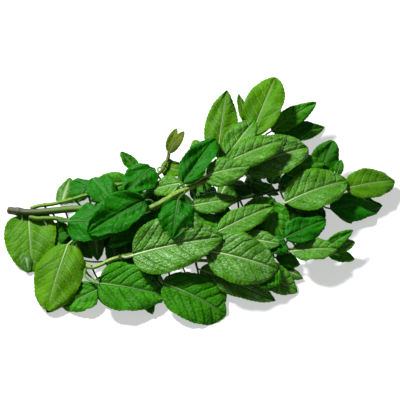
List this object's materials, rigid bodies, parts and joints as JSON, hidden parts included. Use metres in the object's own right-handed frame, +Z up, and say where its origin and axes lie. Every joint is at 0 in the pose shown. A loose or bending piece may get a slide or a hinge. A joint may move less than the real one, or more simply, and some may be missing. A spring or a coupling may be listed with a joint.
{
  "type": "mint sprig",
  "caption": "Cut sprig of fresh mint, a branched square stem with oval leaves on short stalks, lying in a loose heap on a flat surface.",
  "frame": {"origin": "on the surface that the sprig lies on, under the middle of its outline", "axes": "+Z up, +X along the sprig from its cut end to its tips, +Y to its far side"},
  "size_m": [0.2444, 0.1636, 0.0463],
  "materials": {
    "stem": "fresh pale green stem, darker at the cut end, soft satin",
    "leaf": "fresh green leaf, quilted between its veins, soft satin with some sheen"
  },
  "bodies": {
    "root": {"main_stem": "stem", "upper_shoot": "stem", "right_shoot": "stem", "lower_shoot": "stem", "right_leaf_1": "leaf", "main_leaf_1": "leaf", "lower_leaf_1": "leaf", "lower_leaf_6": "leaf", "lower_leaf_8": "leaf", "lower_leaf_9": "leaf", "lower_leaf_15": "leaf", "lower_leaf_10": "leaf", "upper_leaf_3": "leaf", "upper_leaf_4": "leaf", "upper_leaf_5": "leaf", "main_leaf_17": "leaf", "main_leaf_9": "leaf", "main_leaf_14": "leaf", "right_leaf_10": "leaf", "main_leaf_16": "leaf", "main_leaf_15": "leaf", "right_leaf_13": "leaf", "right_leaf_14": "leaf", "right_leaf_12": "leaf", "lower_leaf_17": "leaf", "lower_leaf_16": "leaf", "upper_leaf_7": "leaf", "upper_leaf_8": "leaf", "lower_leaf_13": "leaf", "lower_leaf_11": "leaf", "lower_leaf_2": "leaf", "right_leaf_3": "leaf", "upper_leaf_1": "leaf", "main_leaf_4": "leaf", "lower_leaf_4": "leaf", "lower_leaf_12": "leaf", "right_leaf_7": "leaf", "lower_leaf_14": "leaf", "right_leaf_6": "leaf", "right_leaf_11": "leaf", "right_leaf_8": "leaf", "main_leaf_3": "leaf", "right_leaf_5": "leaf", "right_leaf_4": "leaf", "right_leaf_9": "leaf", "upper_leaf_6": "leaf", "lower_leaf_7": "leaf", "lower_leaf_5": "leaf", "right_leaf_2": "leaf", "upper_leaf_2": "leaf", "main_leaf_2": "leaf", "lower_leaf_3": "leaf", "main_leaf_13": "leaf", "main_leaf_8": "leaf", "main_leaf_10": "leaf", "main_leaf_11": "leaf", "main_leaf_12": "leaf", "main_leaf_7": "leaf", "main_leaf_6": "leaf", "main_leaf_5": "leaf"}
  },
  "joints": []
}
